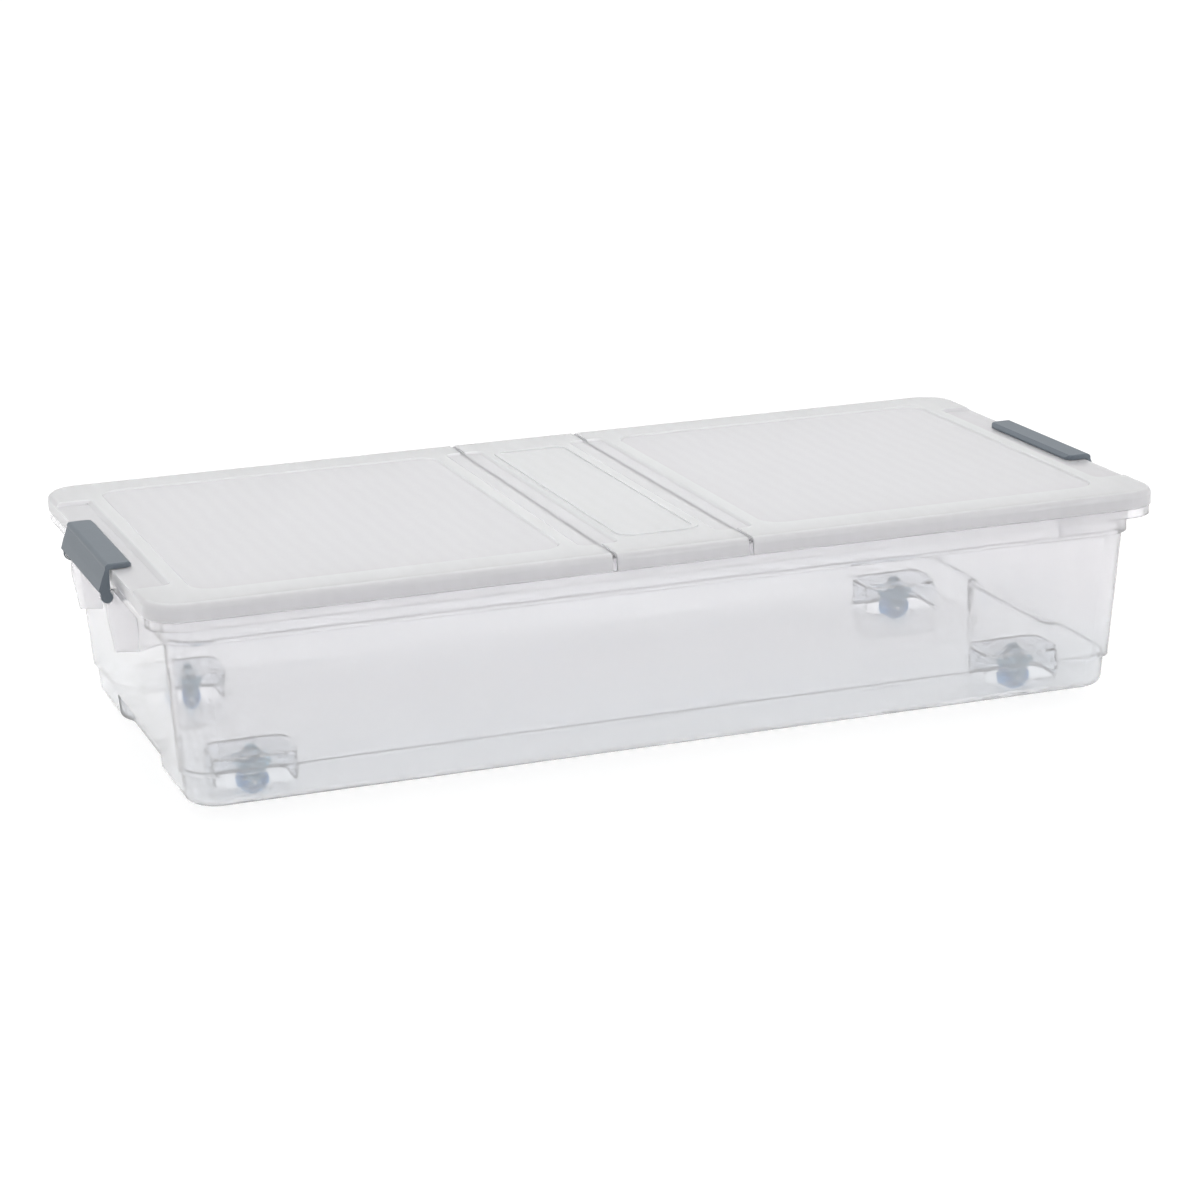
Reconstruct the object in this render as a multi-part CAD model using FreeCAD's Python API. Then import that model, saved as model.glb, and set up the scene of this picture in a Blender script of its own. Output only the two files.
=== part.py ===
import FreeCAD, Part
import math
import os

# Under bed storage box: a long low tub on four small wheels, a folding lid and two end clips.
# X runs along the length, Y across the width, Z up. The wheels stand on Z = 0.
# "inset" is a distance in from the outer edge of the lid, the same on all four sides.

V = FreeCAD.Vector

# Overall size
length = 800.0
width = 400.0
lid_top = 175.0
corner_radius = 28.0

# Lid
lid_wall = 2.2
lid_skirt = 13.0
lid_edge_round = 5.0
lid_to_rim = 0.4
hinge_x = 54.0
hinge_web_width = 2.0
hinge_web_thick = 0.5
hinge_notch = 4.0
trough_width = 32.0
trough_depth = 1.5
trough_end_gap = 32.0
trough_flank = 3.0
field_border = 34.0
field_hinge_gap = 10.0
field_depth = 1.2
field_flank = 1.5
field_radius = 18.0
frame_half_x = 33.0
frame_end_gap = 45.0
frame_width = 5.0
frame_height = 1.2
frame_radius = 12.0

# Tub
tub_wall = 2.5
base_gap = 12.0
wall_corner_radius = 26.0
foot_height = 25.0
foot_step = 2.5
foot_round = 7.0
draft = math.radians(4.0)
rim_inset = 1.0
rim_bead_height = 7.0
rim_bead_gap = 0.6
rim_round = 2.4
wall_inset = 14.0
shoulder_height = 15.0
shoulder_step = 2.5
end_recess_length = 150.0
end_recess_depth = 8.0
end_recess_round = 14.0

# Dip in both ends of the lid and the rim, which the clips lie in
dip_to_side = 55.0
dip_length = 29.0
dip_depth = 3.0
dip_clearance = 0.6
dip_flank = 4.0
dip_round = 8.0

# Clips
clip_length = 142.0
clip_wall = 2.6
clip_hook = 16.0
clip_hook_round = 7.0
clip_end_bevel = 0.8
clip_proud = 1.4
clip_to_lid = 0.45
clip_tip_height = 1.4
clip_tip_bevel = 2.6
clip_crown_out = 1.8
clip_bend_out = 4.8
clip_bend_drop = 4.0
clip_knee_out = 8.3
clip_knee_drop = 12.9
clip_flare = 10.6
clip_drop = 19.0
cheek_thick = 3.0
cheek_gap = 1.0
pivot_out = 4.5
pivot_drop = 23.5
pivot_pin_radius = 2.0
pivot_clearance = 0.08
boss_radius = 4.0
cheek_boss_radius = 4.5
bracket_thick = 4.0
bracket_heel_drop = 16.5
bracket_foot_drop = 43.5
bracket_drop = 45.5


# Wheels
wheel_from_end = 86.0
wheel_from_side = 87.0
wheel_radius = 12.0
wheel_width = 10.0
wheel_rim = 2.6
wheel_hub_radius = 4.0
wheel_web = 3.0
wheel_spokes = 6
spoke_width = 2.0
axle_radius = 1.5
axle_clearance = 0.08
axle_fit = 0.02
fork_gap = 0.7
fork_wall = 2.4
fork_over_wheel = 2.0
fork_cap_length = 27.0
fork_cap_width = 21.0
fork_cap_thick = 2.6
fork_foot_radius = 4.2
collar_radius = 9.0
collar_top_radius = 6.0
collar_height = 6.0
stud_radius = 4.0
stud_fit = 0.02
stud_head_radius = 5.0
stud_head_height = 1.6
well_length = 60.0
well_width = 40.0
well_radius = 8.0

# Worked out from the sizes above
half_x = length / 2
half_y = width / 2
lid_under = lid_top - lid_wall
rim_top = lid_under - lid_to_rim
skirt_bottom = lid_top - lid_skirt
bead_top = skirt_bottom - rim_bead_gap
rim_bottom = bead_top - rim_bead_height
shoulder_bottom = rim_bottom - shoulder_height
foot_top = base_gap + foot_height
hinge_z = lid_top - trough_depth
dip_half_y = half_y - dip_to_side
wheel_x = half_x - wheel_from_end
wheel_y = half_y - wheel_from_side
fork_under = 2 * wheel_radius + fork_over_wheel
fork_top = fork_under + fork_cap_thick
well_top = fork_top + collar_height
clip_half = clip_length / 2
clip_top = lid_top + clip_proud
clip_under = lid_top - dip_depth + clip_to_lid
clip_lower_z = lid_top - clip_drop
pivot_z = lid_top - pivot_drop
pivot_x = half_x + pivot_out
bracket_outer = clip_half - cheek_thick - cheek_gap
low_wall_inset = wall_inset + shoulder_step
wall_foot_inset = low_wall_inset + (shoulder_bottom - foot_top) * math.tan(draft)
foot_top_inset = wall_foot_inset + foot_step
foot_bottom_inset = foot_top_inset + foot_height * math.tan(draft)


def outline(x0, x1, y0, y1, radius, z):
    """A rounded rectangle as a closed wire at height z."""
    k = radius * (1 - math.sqrt(0.5))
    p = [V(x0 + radius, y0, z), V(x1 - radius, y0, z), V(x1 - k, y0 + k, z)]
    p += [V(x1, y0 + radius, z), V(x1, y1 - radius, z), V(x1 - k, y1 - k, z)]
    p += [V(x1 - radius, y1, z), V(x0 + radius, y1, z), V(x0 + k, y1 - k, z)]
    p += [V(x0, y1 - radius, z), V(x0, y0 + radius, z), V(x0 + k, y0 + k, z)]
    edges = []
    for i in range(0, 12, 3):
        edges.append(Part.LineSegment(p[i], p[i + 1]).toShape())
        edges.append(Part.Arc(p[i + 1], p[i + 2], p[(i + 3) % 12]).toShape())
    return Part.Wire(edges)


def ring_outline(inset, z):
    """The outline of the whole box, drawn in by inset."""
    x = half_x - inset
    y = half_y - inset
    return outline(-x, x, -y, y, corner_radius - inset, z)


def wall_outline(inset, skin, z):
    """The outline of the tub's wall, its outside at inset and the line drawn in by skin."""
    x = half_x - inset - skin
    y = half_y - inset - skin
    return outline(-x, x, -y, y, wall_corner_radius - skin, z)


def prism(wire, height):
    return Part.Face(wire).extrude(V(0, 0, height))


def slab(inset, z0, z1):
    return prism(ring_outline(inset, z0), z1 - z0)


def wall_slab(skin, z0, z1):
    return prism(wall_outline(wall_inset, skin, z0), z1 - z0)


def tapered(inset0, z0, inset1, z1, skin):
    wires = [wall_outline(inset0, skin, z0), wall_outline(inset1, skin, z1)]
    return Part.makeLoft(wires, True, True)


def box(x0, x1, y0, y1, z0, z1):
    return Part.makeBox(x1 - x0, y1 - y0, z1 - z0, V(x0, y0, z0))


def rounded(x0, x1, y0, y1, radius, z0, z1):
    return prism(outline(x0, x1, y0, y1, radius, z0), z1 - z0)


def fillet_at(shape, radius, z):
    """Round every edge that lies wholly at height z."""
    edges = []
    for edge in shape.Edges:
        b = edge.BoundBox
        if abs(b.ZMin - z) < 1e-4 and abs(b.ZMax - z) < 1e-4:
            edges.append(edge)
    return shape.makeFillet(radius, edges)


def cylinder_y(radius, x, z, y0, y1):
    return Part.makeCylinder(radius, y1 - y0, V(x, y0, z), V(0, 1, 0))


def plate_y(points, y0, y1):
    """A flat plate across Y, from its outline in X and Z."""
    corners = [V(x, y0, z) for x, z in points]
    return Part.Face(Part.makePolygon(corners + corners[:1])).extrude(V(0, y1 - y0, 0))


def mirrored_x(shape):
    return shape.mirror(V(0, 0, 0), V(1, 0, 0))


def join(shapes):
    return shapes[0].multiFuse(shapes[1:]).removeSplitter()


def dished(depth, flank, x0, x1, y0, y1, radius, z):
    """A shallow pan with sloping flanks, open at height z, to cut from a plate."""
    wires = [
        outline(x0 + flank, x1 - flank, y0 + flank, y1 - flank, radius - flank, z - depth),
        outline(x0, x1, y0, y1, radius, z),
    ]
    return Part.makeLoft(wires, True, True)


# Tub

def tub_outside():
    foot = tapered(foot_bottom_inset, base_gap, foot_top_inset, foot_top, 0.0)
    foot = fillet_at(foot, foot_round, base_gap)
    wall = tapered(wall_foot_inset, foot_top, low_wall_inset, shoulder_bottom, 0.0)
    return join([foot, wall, wall_slab(0.0, shoulder_bottom, rim_top)])


def tub_inside():
    t = tub_wall
    floor = base_gap + t
    ledge = foot_top + t
    step = shoulder_bottom + t
    foot = fillet_at(tapered(foot_bottom_inset, floor, foot_top_inset, ledge, t), foot_round - t, floor)
    wall = tapered(wall_foot_inset, ledge, low_wall_inset, step, t)
    return join([foot, wall, wall_slab(t, step, lid_top)])


def end_recess(grow):
    """The hollow in the middle of each end of the foot, between the corner feet."""
    x1 = half_x
    x0 = half_x - foot_bottom_inset - end_recess_depth - grow
    y = end_recess_length / 2 + grow
    top = foot_top + grow
    one = rounded(x0, x1 + 2 * end_recess_round, -y, y, end_recess_round, -1.0, top)
    return join([one, mirrored_x(one)])


def rim():
    skin = lid_wall + rim_bead_gap
    flange = fillet_at(slab(skin, rim_top - tub_wall, rim_top), rim_round, rim_top)
    lip = fillet_at(slab(skin, bead_top, rim_top), rim_round, rim_top)
    lip = lip.cut(slab(skin + tub_wall, bead_top - 1, rim_top + 1))
    bead = slab(rim_inset, rim_bottom, bead_top)
    bead = bead.cut(slab(skin + tub_wall, rim_bottom - 1, bead_top + 1))
    flange = flange.cut(wall_slab(tub_wall, 0, rim_top + 1))
    return join([flange, lip, bead])


def rim_dip(part):
    """Lower the rim at both ends by the depth of the dip, at the same thickness."""
    skin = lid_wall + rim_bead_gap
    y = dip_half_y + dip_clearance
    low = fillet_at(slab(skin, rim_top - dip_depth - tub_wall, rim_top), rim_round, rim_top)
    low = low.cut(wall_slab(tub_wall, 0, rim_top + 1))
    x = half_x - dip_length
    under = box(x, half_x, -y - tub_wall, y + tub_wall, 0, rim_top)
    over = box(x, half_x + 1, -y, y, rim_top - dip_depth, lid_top)
    part = join([part, low.common(join([under, mirrored_x(under)]))])
    return part.cut(join([over, mirrored_x(over)]))


def bracket(side):
    """A rib on the end wall that holds one pivot of a clip."""
    y1 = bracket_outer
    y0 = y1 - bracket_thick
    inner = half_x - low_wall_inset - tub_wall / 2
    under_rim = rim_top - dip_depth - tub_wall / 2
    points = [
        (inner, under_rim),
        (half_x - lid_wall - tub_wall, under_rim),
        (half_x - rim_inset - tub_wall, rim_bottom + 1),
        (pivot_x, pivot_z + boss_radius),
        (pivot_x, pivot_z - bracket_heel_drop),
        (half_x, pivot_z - bracket_foot_drop),
        (inner, pivot_z - bracket_drop),
    ]
    rib = join([plate_y(points, y0, y1), cylinder_y(boss_radius, pivot_x, pivot_z, y0, y1)])
    hole = cylinder_y(pivot_pin_radius + pivot_clearance, pivot_x, pivot_z, y0 - 1, y1 + 1)
    rib = rib.cut(hole)
    return rib if side > 0 else rib.mirror(V(0, 0, 0), V(0, 1, 0))


def well(x, y, grow, z0, z1):
    a = well_length / 2 + grow
    b = well_width / 2 + grow
    return rounded(x - a, x + a, y - b, y + b, well_radius + grow, z0, z1)


def wheel_places():
    names = ("front_left", "front_right", "back_left", "back_right")
    signs = ((-1, -1), (1, -1), (-1, 1), (1, 1))
    return [(name, sx * wheel_x, sy * wheel_y) for name, (sx, sy) in zip(names, signs)]


def tub():
    part = tub_outside().cut(end_recess(0.0))
    inside = tub_inside().cut(end_recess(tub_wall))
    ribs = [bracket(1), bracket(-1)]
    ribs += [mirrored_x(r) for r in ribs]
    part = join([part, rim()] + ribs)
    part = rim_dip(part).cut(inside)
    for _, x, y in wheel_places():
        part = join([part, well(x, y, tub_wall, base_gap, well_top + tub_wall)])
        part = part.cut(well(x, y, 0.0, -1.0, well_top))
        stud_hole = Part.makeCylinder(stud_radius + stud_fit, 20, V(x, y, well_top - 1))
        part = part.cut(stud_hole)
    return part.removeSplitter()


# Lid

def lid_shell():
    outer = fillet_at(slab(0.0, skirt_bottom, lid_top), lid_edge_round, lid_top)
    inner = fillet_at(
        slab(lid_wall, skirt_bottom - 1, lid_under), lid_edge_round - lid_wall, lid_under
    )
    return outer.cut(inner)


def sink(part, depth, flank, x0, x1, y0, y1, radius):
    """Press a pan into the lid plate, keeping the plate's thickness under it."""
    w = lid_wall
    under = rounded(x0 - w, x1 + w, y0 - w, y1 + w, radius + w, lid_under - depth, lid_under + w / 2)
    return join([part, under]).cut(dished(depth, flank, x0, x1, y0, y1, radius, lid_top))


def end_dip(part):
    """Lower the end of the lid where the clip hooks over it, with sloping sides."""
    x0 = half_x - dip_length
    y = dip_half_y
    w = lid_wall
    c = dip_flank
    z = lid_under - dip_depth
    low = box(x0, half_x - lid_edge_round, -y, y, z, lid_top - dip_depth)
    rail = box(half_x - lid_edge_round, half_x, -y, y, z, lid_top - dip_depth)
    inner_end = box(x0 - w, x0 + c, -y, y, z, lid_under + w / 2)
    sides = box(x0 - w, half_x - w, -y, -y + w + c, z, lid_under + w / 2)
    sides = join([sides, sides.mirror(V(0, 0, 0), V(0, 1, 0))])
    x1 = half_x + 2 * dip_round
    pan = dished(dip_depth, c, x0, x1, -y + w, y - w, dip_round, lid_top)
    return join([part, low, rail, inner_end, sides]).cut(pan)


def hinge_cut(x):
    """Frees a flap from the centre panel: a notch above the hinge and through the skirt."""
    n = hinge_notch / 2
    w = hinge_web_width / 2
    far = half_y + 1
    upper = box(x - n, x + n, -far, far, hinge_z, lid_top + 1)
    lower = box(x - w, x + w, -far, far, 0, lid_top + 1)
    ends = box(x - n, x + n, half_y - lid_wall - 1, far, 0, lid_top + 1)
    ends = join([ends, ends.mirror(V(0, 0, 0), V(0, 1, 0))])
    return join([upper, lower, ends])


def lid_blank():
    part = lid_shell()
    y = half_y - trough_end_gap
    for x in (-hinge_x, hinge_x):
        a = trough_width / 2
        part = sink(part, trough_depth, trough_flank, x - a, x + a, -y, y, trough_width / 4)
    return part


def right_flap():
    part = lid_blank().common(box(hinge_x, half_x + 1, -half_y, half_y, 0, lid_top + 1))
    x0 = hinge_x + trough_width / 2 + field_hinge_gap
    x1 = half_x - dip_length - field_hinge_gap
    y = half_y - field_border
    part = sink(part, field_depth, field_flank, x0, x1, -y, y, field_radius)
    return end_dip(part).cut(hinge_cut(hinge_x)).removeSplitter()


def centre_panel():
    part = lid_blank().common(box(-hinge_x, hinge_x, -half_y, half_y, 0, lid_top + 1))
    a = frame_half_x
    b = half_y - frame_end_gap
    w = frame_width
    z = lid_top - lid_wall / 2
    top = lid_top + frame_height
    frame = rounded(-a, a, -b, b, frame_radius, z, top)
    frame = frame.cut(rounded(-a + w, a - w, -b + w, b - w, frame_radius - w, z - 1, top + 1))
    part = join([part, frame])
    for x in (-hinge_x, hinge_x):
        part = part.cut(hinge_cut(x))
    return part.removeSplitter()


def hinge_web(x):
    w = hinge_web_width / 2
    y = half_y - lid_wall - 1
    return box(x - w, x + w, -y, y, hinge_z - hinge_web_thick, hinge_z)


# Clips

def clip_section():
    """The outline of the clip's bent plate in X and Z, at y = 0."""
    tip = half_x - clip_hook
    bend = half_x + clip_bend_out
    knee = half_x + clip_knee_out
    edge = half_x + clip_flare
    w = clip_wall
    outline_points = [
        V(tip, 0, clip_under),
        V(tip, 0, clip_under + clip_tip_height),
        V(tip + clip_tip_bevel, 0, clip_top),
        V(half_x + clip_crown_out, 0, clip_top),
        V(bend, 0, clip_top - clip_bend_drop),
        V(knee, 0, clip_top - clip_knee_drop),
        V(edge, 0, clip_lower_z),
        V(edge - w, 0, clip_lower_z),
        V(knee - w, 0, clip_top - clip_knee_drop),
        V(bend - w, 0, clip_under - w),
        V(half_x + clip_crown_out / 2, 0, clip_under),
    ]
    bends = {
        3: V(bend - 0.8, 0, clip_top - clip_bend_drop / 4),
        9: V(bend - w - 0.3, 0, clip_under - w / 3),
    }
    edges = []
    for i, start in enumerate(outline_points):
        end = outline_points[(i + 1) % len(outline_points)]
        curve = Part.Arc(start, bends[i], end) if i in bends else Part.LineSegment(start, end)
        edges.append(curve.toShape())
    return Part.Wire(edges)


def clip_plate():
    """The bent plate at its full length, with the hook's corners rounded and its ends bevelled."""
    section = clip_section().translated(V(0, -clip_half, 0))
    plate = Part.Face(section).extrude(V(0, clip_length, 0))
    x0 = half_x - clip_hook
    x1 = half_x + 2 * clip_flare + clip_hook_round
    bevel_z = clip_top - clip_end_bevel
    c = clip_end_bevel
    low = rounded(x0, x1, -clip_half, clip_half, clip_hook_round, 0, bevel_z)
    wires = [
        outline(x0, x1, -clip_half, clip_half, clip_hook_round, bevel_z),
        outline(x0 + c, x1 - c, c - clip_half, clip_half - c, clip_hook_round - c, clip_top),
    ]
    return plate.common(join([low, Part.makeLoft(wires, True, True)]))


def cheek(side):
    """The end of a clip, with the pin that turns in the tub's bracket."""
    y1 = clip_half
    y0 = y1 - cheek_thick
    points = [
        (half_x + clip_crown_out, clip_under + 1.0),
        (half_x + clip_bend_out - 1.0, clip_top - clip_bend_drop),
        (half_x + clip_knee_out - 1.0, clip_top - clip_knee_drop),
        (half_x + clip_flare - 1.0, clip_lower_z),
        (pivot_x + cheek_boss_radius - 0.5, pivot_z - 1.0),
        (pivot_x - 1.0, pivot_z),
        (half_x + clip_crown_out, pivot_z + cheek_boss_radius),
    ]
    body = join([
        plate_y(points, y0, y1),
        cylinder_y(cheek_boss_radius, pivot_x, pivot_z, y0, y1),
        cylinder_y(pivot_pin_radius, pivot_x, pivot_z, y0 - cheek_gap - bracket_thick, y0 + 1),
    ])
    return body if side > 0 else body.mirror(V(0, 0, 0), V(0, 1, 0))


def right_clip():
    return join([clip_plate(), cheek(1), cheek(-1)])


# Wheels

def wheel(x, y):
    z = wheel_radius
    a = wheel_width / 2
    inner = wheel_radius - wheel_rim
    tyre = cylinder_y(wheel_radius, 0, 0, -a, a)
    tyre = tyre.makeFillet(1.0, [e for e in tyre.Edges if e.Closed])
    tyre = tyre.cut(cylinder_y(inner, 0, 0, -a - 1, a + 1))
    hub = cylinder_y(wheel_hub_radius, 0, 0, -a, a)
    web = cylinder_y(inner + 0.5, 0, 0, -wheel_web / 2, wheel_web / 2)
    shapes = [tyre, hub, web]
    for i in range(wheel_spokes // 2):
        spoke = box(-inner - 0.3, inner + 0.3, -a + 0.8, a - 0.8, -spoke_width / 2, spoke_width / 2)
        spoke.rotate(V(0, 0, 0), V(0, 1, 0), 180.0 * i / (wheel_spokes // 2))
        shapes.append(spoke)
    part = join(shapes)
    part = part.cut(cylinder_y(axle_radius + axle_clearance, 0, 0, -a - 1, a + 1))
    return part.translated(V(x, y, z))


def fork_reach():
    """Half the distance between the outer faces of a fork's cheeks."""
    return wheel_width / 2 + fork_gap + fork_wall


def axle(x, y):
    reach = fork_reach() + 0.4
    pin = cylinder_y(axle_radius, x, wheel_radius, y - reach, y + reach)
    return pin.makeChamfer(0.3, [e for e in pin.Edges if e.Closed])


def fork(x, y):
    """The snap-in wheel housing: a cap, two cheeks, a collar and a stud through the well's roof."""
    a = fork_cap_length / 2
    b = fork_cap_width / 2
    under = fork_under
    cap = rounded(-a, a, -b, b, 3.0, under, fork_top)
    collar = Part.makeCone(collar_radius, collar_top_radius, collar_height, V(0, 0, fork_top))
    shapes = [cap, collar]
    outer = fork_reach()
    for y0, y1 in ((-outer, -outer + fork_wall), (outer - fork_wall, outer)):
        points = [
            (-a + 1.5, under + 0.5),
            (a - 1.5, under + 0.5),
            (fork_foot_radius, wheel_radius),
            (-fork_foot_radius, wheel_radius),
        ]
        shapes.append(plate_y(points, y0, y1))
        shapes.append(cylinder_y(fork_foot_radius, 0, wheel_radius, y0, y1))
    roof = well_top + tub_wall
    shapes.append(Part.makeCylinder(stud_radius, roof - under, V(0, 0, under)))
    shapes.append(
        Part.makeCone(stud_head_radius, stud_radius - 0.6, stud_head_height, V(0, 0, roof))
    )
    part = join(shapes)
    part = part.cut(cylinder_y(axle_radius + axle_fit, 0, wheel_radius, -outer - 1, outer + 1))
    return part.translated(V(x, y, 0))


def save(name, shape):
    assert len(shape.Solids) == 1 and shape.isValid(), name
    shape.Solids[0].exportStep("parts/" + name + ".step")


os.makedirs("parts", exist_ok=True)
save("tub", tub())
flap = right_flap()
save("right_lid_flap", flap)
save("left_lid_flap", mirrored_x(flap))
save("lid_centre_panel", centre_panel())
save("right_hinge_web", hinge_web(hinge_x))
save("left_hinge_web", hinge_web(-hinge_x))
clip = right_clip()
save("right_clip", clip)
save("left_clip", mirrored_x(clip))
for place, px, py in wheel_places():
    save(place + "_wheel", wheel(px, py))
    save(place + "_axle", axle(px, py))
    save(place + "_wheel_fork", fork(px, py))
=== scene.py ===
import math

import bmesh
import bpy
from mathutils import Matrix, Vector


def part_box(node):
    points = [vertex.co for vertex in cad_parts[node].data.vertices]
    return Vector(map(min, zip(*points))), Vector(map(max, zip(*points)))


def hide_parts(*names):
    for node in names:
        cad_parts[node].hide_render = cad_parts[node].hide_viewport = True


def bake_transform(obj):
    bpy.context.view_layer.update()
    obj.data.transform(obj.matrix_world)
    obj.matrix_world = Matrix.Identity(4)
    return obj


# An under bed storage box: frosted tub and folding lid, grey end clips and four small wheels.
# The imported CAD model is the frame. This script gives it its materials, its thinned hinge
# webs and the setting: a white light table, soft light and a camera. Lengths are in metres.

CAMERA_AZIMUTH = math.radians(-19.6)
CAMERA_ELEVATION = math.radians(15.49)
CAMERA_ROLL = math.radians(-1.55)
CAMERA_DISTANCE = 2.642
CAMERA_TARGET = Vector((0.0045, 0.0, 0.0828))
CAMERA_LENS = 99.2

LID_NODES = ("right_lid_flap", "left_lid_flap", "lid_centre_panel")
CLIP_NODES = ("right_clip", "left_clip")
WHEEL_PLACES = ("front_left", "front_right", "back_left", "back_right")

# The space that holds one wheel well, around the wheel's middle
WELL_HALF_LENGTH = 0.033
WELL_HALF_WIDTH = 0.023
WELL_TOP = 0.048

# A living hinge's web: its thickness along the middle, and the strips it is built of across its
# width
WEB_THIN = 0.0003
WEB_STEPS = 12

# The tub's tone changes from its foot to its walls between these heights, and the lid's
# from its sunk fields to its borders between these depths below its top. The borders' lighter,
# bluer tone is a painted highlight on the lid's raised borders.
FOOT_TO_WALL = (0.04, 0.09)
FIELD_DEPTH = 0.0011
BORDER_DEPTH = 0.0002

TUB_FOOT_TONE = (0.965, 0.98, 1.0)
TUB_WALL_TONE = (0.99, 0.98, 1.0)
LID_FIELD_TONE = (0.88, 0.873, 0.91)
# Painted highlight: the lid's raised borders are lighter and bluer than its fields
LID_BORDER_HIGHLIGHT_TONE = (0.95, 0.985, 1.0)
FORK_TONE = (0.25, 0.58, 0.8)
CLIP_TONE = (0.11, 0.134, 0.158)
WHEEL_TONE = (0.01, 0.27, 0.62)
STEEL_TONE = (0.6, 0.6, 0.62)

POLYPROPYLENE_IOR = 1.49
SCATTER_LENGTH = 0.01

# Texture scales, per metre
FINE_GRAIN = 900.0
SPARK_GRAIN = 1500.0
COLOUR_CLOUD = 40.0
STREAK_SCALE = 24.0

FLOOR_HALF_SIZE = 9.0
FLOOR_WHITE = 0.2
FLOOR_GLOW = 0.86
WORLD_STRENGTH = 0.9

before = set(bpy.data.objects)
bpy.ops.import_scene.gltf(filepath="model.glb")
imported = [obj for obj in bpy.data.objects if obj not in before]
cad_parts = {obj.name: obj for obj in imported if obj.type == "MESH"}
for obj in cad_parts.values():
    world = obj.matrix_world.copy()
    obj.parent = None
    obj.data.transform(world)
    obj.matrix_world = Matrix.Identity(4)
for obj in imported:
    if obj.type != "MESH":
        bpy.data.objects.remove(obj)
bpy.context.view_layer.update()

# Places read from the frame: the right web and the back right wheel stand for the others,
# which mirror them
wheel_low, wheel_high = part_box("back_right_wheel")
WELL_X = (wheel_low.x + wheel_high.x) / 2
WELL_Y = (wheel_low.y + wheel_high.y) / 2

web_low, web_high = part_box("right_hinge_web")
WEB_X = (web_low.x + web_high.x) / 2
WEB_HALF_WIDTH = (web_high.x - web_low.x) / 2
WEB_HALF_LENGTH = web_high.y
WEB_TOP = web_high.z
WEB_THICK = web_high.z - web_low.z

lid_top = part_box("right_lid_flap")[1].z
# Depths over which the lid's painted highlight comes in towards its borders
FIELD_TO_BORDER = (lid_top - FIELD_DEPTH, lid_top - BORDER_DEPTH)


# Materials

def new_material(name):
    material = bpy.data.materials.new(name)
    material.use_nodes = True
    tree = material.node_tree
    return material, tree, tree.nodes["Principled BSDF"]


def add_bump(tree, shader, height, strength, distance):
    bump = tree.nodes.new("ShaderNodeBump")
    bump.inputs["Strength"].default_value = strength
    bump.inputs["Distance"].default_value = distance
    tree.links.new(height, bump.inputs["Height"])
    tree.links.new(bump.outputs["Normal"], shader.inputs["Normal"])


def object_place(tree):
    return tree.nodes.new("ShaderNodeTexCoord").outputs["Object"]


def noise(tree, scale):
    texture = tree.nodes.new("ShaderNodeTexNoise")
    texture.inputs["Scale"].default_value = scale
    texture.inputs["Detail"].default_value = 3.0
    tree.links.new(object_place(tree), texture.inputs["Vector"])
    return texture.outputs["Fac"]


def spread(tree, value, low, high):
    """Carries a texture's 0 to 1 into low to high."""
    change = tree.nodes.new("ShaderNodeMapRange")
    change.inputs["To Min"].default_value = low
    change.inputs["To Max"].default_value = high
    tree.links.new(value, change.inputs["Value"])
    return change.outputs["Result"]


def colour_mix(tree, amount, low_colour, high_colour):
    """From one colour to another as amount goes from 0 to 1."""
    mix = tree.nodes.new("ShaderNodeMix")
    mix.data_type = "RGBA"
    factor, first, second = mix.inputs[0], mix.inputs[6], mix.inputs[7]
    tree.links.new(amount, factor)
    first.default_value = (*low_colour, 1)
    second.default_value = (*high_colour, 1)
    return mix.outputs[2]


def by_height(tree, heights, low_colour, high_colour):
    """A colour that changes between two heights above the floor."""
    split = tree.nodes.new("ShaderNodeSeparateXYZ")
    tree.links.new(object_place(tree), split.inputs["Vector"])
    height = tree.nodes.new("ShaderNodeMapRange")
    height.inputs["From Min"].default_value = heights[0]
    height.inputs["From Max"].default_value = heights[1]
    tree.links.new(split.outputs["Z"], height.inputs["Value"])
    return colour_mix(tree, height.outputs["Result"], low_colour, high_colour)


def streaked(tree, colour, amount):
    """The colour with the faint uneven streaks, across the box, of a ribbed moulding tool."""
    wave = tree.nodes.new("ShaderNodeTexWave")
    wave.bands_direction = "X"
    wave.inputs["Scale"].default_value = STREAK_SCALE
    wave.inputs["Distortion"].default_value = 3.0
    wave.inputs["Detail"].default_value = 2.0
    wave.inputs["Detail Scale"].default_value = 1.5
    tree.links.new(object_place(tree), wave.inputs["Vector"])
    mix = tree.nodes.new("ShaderNodeMix")
    mix.data_type = "RGBA"
    mix.blend_type = "MULTIPLY"
    factor, first, second = mix.inputs[0], mix.inputs[6], mix.inputs[7]
    factor.default_value = 1.0
    tree.links.new(colour, first)
    tree.links.new(spread(tree, wave.outputs["Fac"], 1.0 - amount, 1.0), second)
    return mix.outputs[2]


def frosted_plastic(name, clear, roughness, low, high=None, heights=FOOT_TO_WALL, streaks=0.0):
    """Milky polypropylene: some light goes straight through, the rest spreads inside the wall.

    It has one tone, or a low and a high one that change over between two heights.
    """
    material, tree, shader = new_material(name)
    colour = by_height(tree, heights, low, high or low)
    if streaks:
        colour = streaked(tree, colour, streaks)
    tree.links.new(colour, shader.inputs["Base Color"])
    shader.inputs["Transmission Weight"].default_value = clear
    shader.inputs["IOR"].default_value = POLYPROPYLENE_IOR
    shader.inputs["Subsurface Weight"].default_value = 1.0
    shader.inputs["Subsurface Radius"].default_value = (1.0, 1.0, 1.0)
    shader.inputs["Subsurface Scale"].default_value = SCATTER_LENGTH
    grain = noise(tree, FINE_GRAIN)
    uneven = spread(tree, grain, 0.6 * roughness, 1.4 * roughness)
    tree.links.new(uneven, shader.inputs["Roughness"])
    add_bump(tree, shader, grain, 0.01, 0.0001)
    return material


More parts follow.
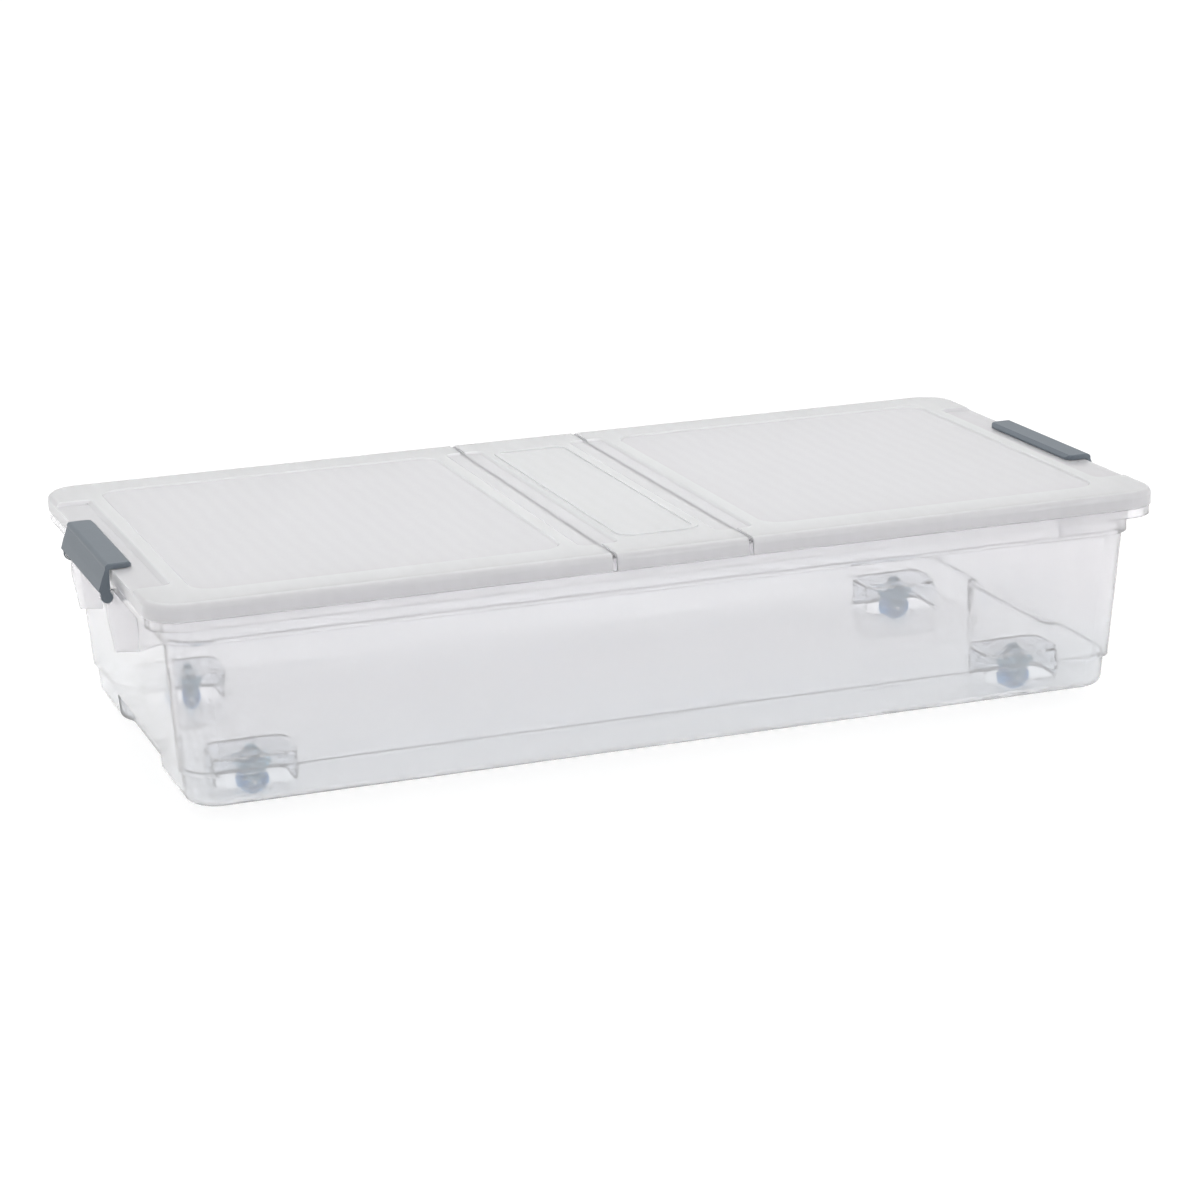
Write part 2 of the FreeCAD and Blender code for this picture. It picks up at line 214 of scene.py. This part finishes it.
def grained(name, colour, roughness, metallic=0.0):
    """Solid plastic or metal with a fine grain and a slightly uneven colour."""
    material, tree, shader = new_material(name)
    shader.inputs["Metallic"].default_value = metallic
    darker = [0.93 * c for c in colour]
    lighter = [1.07 * c for c in colour]
    cloudy = colour_mix(tree, noise(tree, COLOUR_CLOUD), darker, lighter)
    tree.links.new(cloudy, shader.inputs["Base Color"])
    grain = noise(tree, SPARK_GRAIN)
    uneven = spread(tree, grain, roughness - 0.05, roughness + 0.05)
    tree.links.new(uneven, shader.inputs["Roughness"])
    add_bump(tree, shader, grain, 0.2, 0.0002)
    return material


def paint(node, material):
    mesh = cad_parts[node].data
    mesh.materials.clear()
    mesh.materials.append(material)


def in_a_well(place):
    x = abs(abs(place.x) - WELL_X)
    y = abs(abs(place.y) - WELL_Y)
    return x < WELL_HALF_LENGTH and y < WELL_HALF_WIDTH and place.z < WELL_TOP


def paint_wells(material):
    """Gives the tub's faces around the wheels a clearer plastic, so that the wheels show."""
    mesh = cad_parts["tub"].data
    mesh.materials.append(material)
    for face in mesh.polygons:
        if in_a_well(face.center):
            face.material_index = 1


tub_plastic = frosted_plastic("frosted_tub", 0.79, 0.02, TUB_FOOT_TONE, TUB_WALL_TONE)
well_plastic = frosted_plastic("frosted_well", 0.94, 0.02, TUB_FOOT_TONE)
# The lid's borders carry a painted highlight, a lighter and bluer tone than its fields
lid_plastic = frosted_plastic("frosted_lid", 0.42, 0.2, LID_FIELD_TONE, LID_BORDER_HIGHLIGHT_TONE,
                              heights=FIELD_TO_BORDER, streaks=0.015)
web_plastic = frosted_plastic("frosted_web", 0.45, 0.2, LID_FIELD_TONE)
fork_plastic = frosted_plastic("fork_blue_grey", 0.6, 0.1, FORK_TONE)
clip_plastic = grained("clip_grey", CLIP_TONE, 0.45)
wheel_plastic = grained("wheel_blue_grey", WHEEL_TONE, 0.4)
steel = grained("axle_steel", STEEL_TONE, 0.3, metallic=1.0)

paint("tub", tub_plastic)
paint_wells(well_plastic)
for node in LID_NODES:
    paint(node, lid_plastic)
for node in CLIP_NODES:
    paint(node, clip_plastic)
for place in WHEEL_PLACES:
    paint(place + "_wheel", wheel_plastic)
    paint(place + "_wheel_fork", fork_plastic)
    paint(place + "_axle", steel)


# Living hinges: thin webs of the lid's own plastic between the centre and each flap, thinnest
# along the middle, where the real ones bend

def web_section(side):
    """The web's outline in X and Z, thinned along the middle, from its inner edge outwards."""
    top = []
    bottom = []
    for i in range(WEB_STEPS + 1):
        across = 2 * i / WEB_STEPS - 1
        x = side * (WEB_X + across * WEB_HALF_WIDTH)
        thick = WEB_THIN + (WEB_THICK - WEB_THIN) * across * across
        top.append((x, WEB_TOP))
        bottom.append((x, WEB_TOP - thick))
    return top + bottom[::-1]


def new_piece(name, bm, material):
    mesh = bpy.data.meshes.new(name)
    bm.to_mesh(mesh)
    bm.free()
    mesh.materials.append(material)
    piece = bpy.data.objects.new(name, mesh)
    bpy.context.scene.collection.objects.link(piece)
    return piece


def hinge_web(name, side, node):
    bm = bmesh.new()
    section = web_section(side)
    rings = []
    for y in (-WEB_HALF_LENGTH, WEB_HALF_LENGTH):
        rings.append([bm.verts.new((x, y, z)) for x, z in section])
    count = len(section)
    for i in range(count):
        j = (i + 1) % count
        bm.faces.new((rings[0][i], rings[0][j], rings[1][j], rings[1][i]))
    for ring in rings:
        for i in range(WEB_STEPS):
            bm.faces.new((ring[i], ring[i + 1], ring[count - 2 - i], ring[count - 1 - i]))
    bmesh.ops.recalc_face_normals(bm, faces=bm.faces)
    piece = new_piece(name, bm, web_plastic)
    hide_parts(node)
    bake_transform(piece)


hinge_web("left_living_hinge", -1, "left_hinge_web")
hinge_web("right_living_hinge", 1, "right_hinge_web")


# Setting

def floor():
    """A white light table: it glows a little, so the box throws almost no shadow."""
    bm = bmesh.new()
    bmesh.ops.create_grid(bm, x_segments=1, y_segments=1, size=FLOOR_HALF_SIZE)
    material, _, shader = new_material("floor_white")
    shader.inputs["Base Color"].default_value = (FLOOR_WHITE, FLOOR_WHITE, FLOOR_WHITE, 1)
    shader.inputs["Emission Color"].default_value = (1, 1, 1, 1)
    shader.inputs["Emission Strength"].default_value = FLOOR_GLOW
    shader.inputs["Roughness"].default_value = 0.9
    shader.inputs["Specular IOR Level"].default_value = 0.1
    piece = new_piece("floor", bm, material)


def soft_light(name, place, size, power):
    """A rectangular light that faces the middle of the box."""
    light = bpy.data.lights.new(name, "AREA")
    light.shape = "RECTANGLE"
    light.size, light.size_y = size
    light.energy = power
    lamp = bpy.data.objects.new(name, light)
    lamp.location = place
    towards = Vector((0, 0, 0.1)) - Vector(place)
    lamp.rotation_euler = towards.to_track_quat("-Z", "Y").to_euler()
    bpy.context.scene.collection.objects.link(lamp)


def world_light():
    world = bpy.data.worlds.new("studio")
    world.use_nodes = True
    background = world.node_tree.nodes["Background"]
    background.inputs["Color"].default_value = (1, 1, 1, 1)
    background.inputs["Strength"].default_value = WORLD_STRENGTH
    bpy.context.scene.world = world


def camera():
    a = CAMERA_AZIMUTH
    e = CAMERA_ELEVATION
    back = Vector((math.sin(a) * math.cos(e), -math.cos(a) * math.cos(e), math.sin(e)))
    right = Vector((math.cos(a), math.sin(a), 0))
    up = back.cross(right)
    turn = Matrix((right, up, back)).transposed() @ Matrix.Rotation(CAMERA_ROLL, 3, "Z")
    data = bpy.data.cameras.new("camera")
    data.lens = CAMERA_LENS
    data.sensor_width = 36
    data.clip_end = 50
    eye = bpy.data.objects.new("camera", data)
    eye.matrix_world = Matrix.Translation(CAMERA_TARGET + back * CAMERA_DISTANCE) @ turn.to_4x4()
    bpy.context.scene.collection.objects.link(eye)
    bpy.context.scene.camera = eye


floor()
world_light()
soft_light("top", (0.0, 0.6, 2.6), (3.0, 2.2), 29.0)
soft_light("key", (-1.2, -3.2, 1.6), (2.4, 2.0), 8.0)
soft_light("front", (2.0, -3.0, 0.9), (2.4, 1.2), 14.0)
camera()
bpy.context.scene.view_settings.view_transform = "Standard"
